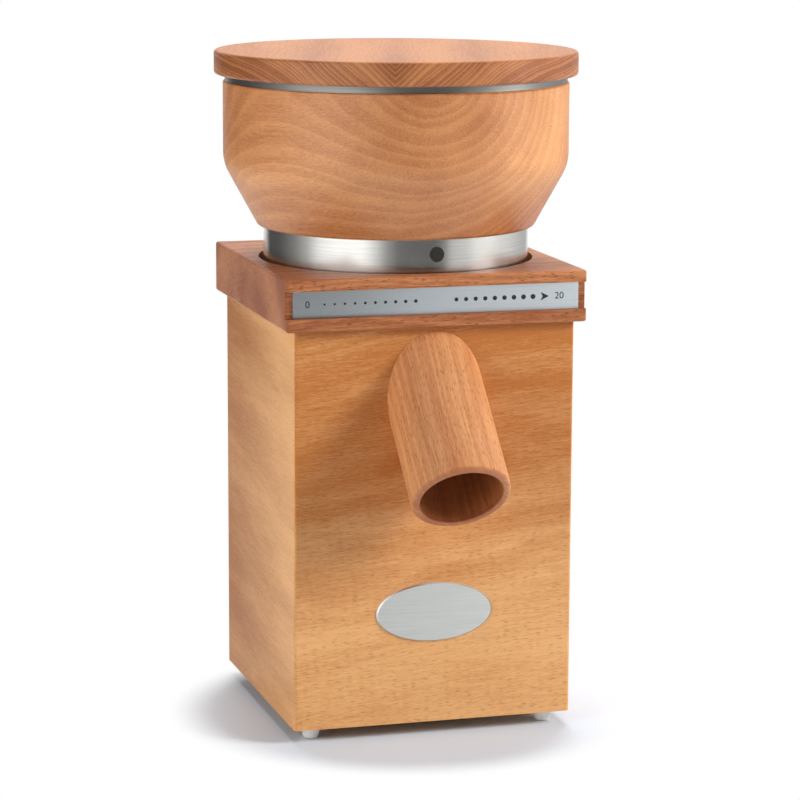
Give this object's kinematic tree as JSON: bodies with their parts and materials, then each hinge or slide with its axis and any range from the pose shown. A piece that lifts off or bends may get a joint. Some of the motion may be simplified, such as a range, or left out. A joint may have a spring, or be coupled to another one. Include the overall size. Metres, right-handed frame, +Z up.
{
  "type": "electric grain mill",
  "caption": "Electric stone grain mill: square wooden motor housing with a slanted wooden spout, topped by a round wooden hopper with a lid that is turned to set the grind.",
  "frame": {"origin": "on the surface the mill stands on, under the middle of its overall length and width", "axes": "+Z up; the spout and scale face -Y; +X to the right of someone facing the front"},
  "size_m": [0.1754, 0.2138, 0.3218],
  "materials": {
    "front_veneer": "oiled satin, horizontal beech grain",
    "side_veneer": "oiled satin, horizontal beech grain",
    "batten_wood": "raw beech",
    "base_board": "raw plywood",
    "cap_wood": "oiled satin, redder beech",
    "spout_wood": "oiled satin, grain along the tube",
    "bowl_wood": "oiled satin, turned",
    "lid_wood": "oiled satin, turned",
    "plug_wood": "oiled satin, turned",
    "scale_steel": "brushed lengthwise, printed dots",
    "badge_steel": "brushed, bevelled edge",
    "sleeve_steel": "brushed round",
    "band_steel": "satin",
    "foot_plastic": "satin white",
    "dot_black": "matte black",
    "chamber_plastic": "smooth off-white",
    "base_plastic": "smooth off-white",
    "thread_metal": "turned",
    "driver_metal": "cast",
    "cast_shield": "cast",
    "zinc_screw": "bright zinc",
    "bearing_bronze": "sintered",
    "core_steel": "laminated",
    "copper_winding": "enamelled copper",
    "commutator_copper": "turned copper",
    "brass_holder": "pressed brass",
    "carbon": "matte carbon",
    "capacitor_case": "yellow case",
    "block_plastic": "natural white",
    "switch_black": "satin black",
    "rocker_plastic": "gloss black",
    "gland_plastic": "black",
    "wire_cover": "brown insulation",
    "shaft_steel": "ground",
    "fan_plastic": "black",
    "grindstone": "coarse grit",
    "spring_steel": "drawn wire"
  },
  "bodies": {
    "housing": {"front_panel": "front_veneer", "back_panel": "side_veneer", "left_panel": "side_veneer", "right_panel": "side_veneer", "corner_battens": "batten_wood", "base_plate": "base_board", "base_screws": "zinc_screw", "feet": "foot_plastic", "cap_board": "cap_wood", "scale_plate": "scale_steel", "front_badge": "badge_steel", "spout_tube": "spout_wood", "outlet_duct": "chamber_plastic", "grinding_chamber": "chamber_plastic", "guide_collar": "thread_metal", "chamber_screws": "zinc_screw", "shield_screws": "zinc_screw", "upper_end_shield": "cast_shield", "lower_end_shield": "cast_shield", "upper_bush": "bearing_bronze", "lower_bush": "bearing_bronze", "stator_core": "core_steel", "field_coils": "copper_winding", "through_bolts": "zinc_screw", "brush_holders": "brass_holder", "carbon_brushes": "carbon", "capacitor": "capacitor_case", "terminal_block": "block_plastic", "switch_body": "switch_black", "cable_gland": "gland_plastic", "gland_nut": "gland_plastic", "inner_wires": "wire_cover"},
    "rotor": {"rotor_shaft": "shaft_steel", "armature_core": "core_steel", "armature_winding": "copper_winding", "commutator": "commutator_copper", "cooling_fan": "fan_plastic", "stone_driver": "driver_metal", "lower_stone": "grindstone", "feed_cone": "driver_metal"},
    "switch_rocker": {"rocker": "rocker_plastic"},
    "float_ring": {"float_ring": "thread_metal", "ring_springs": "spring_steel"},
    "hopper": {"hopper_bowl": "bowl_wood", "rim_band": "band_steel", "hopper_sleeve": "sleeve_steel", "index_dot": "dot_black", "hopper_base": "base_plastic", "hopper_thread": "base_plastic", "hopper_screws": "zinc_screw", "upper_stone": "grindstone", "stone_screws": "zinc_screw"},
    "lid": {"lid_disc": "lid_wood", "lid_plug": "plug_wood", "lid_screws": "zinc_screw"}
  },
  "joints": [
    {"name": "rotor_spin", "type": "hinge", "parent": "housing", "child": "rotor", "pos_m": [0, 0.01925, 0.1], "axis": [0, 0, 1], "continuous": true},
    {"name": "rocker_tip", "type": "hinge", "parent": "housing", "child": "switch_rocker", "pos_m": [0, 0.08575, 0.12], "axis": [1, 0, 0], "range_deg": [0, 20]},
    {"name": "ring_rise", "type": "slide", "parent": "housing", "child": "float_ring", "axis": [0, 0, 1], "range_m": [-0.001, 0.001], "deforming": ["ring_springs"]},
    {"name": "hopper_turn", "type": "hinge", "parent": "float_ring", "child": "hopper", "pos_m": [0, 0.01925, 0.215], "axis": [0, 0, 1], "range_deg": [-58, 58]},
    {"name": "lid_lift", "type": "slide", "parent": "hopper", "child": "lid", "axis": [0, 0, 1], "range_m": [0, 0.12]}
  ],
  "couplings": [
    {"joint": "ring_rise", "follows": "hopper_turn", "m_per_rad": 0.00095493}
  ]
}
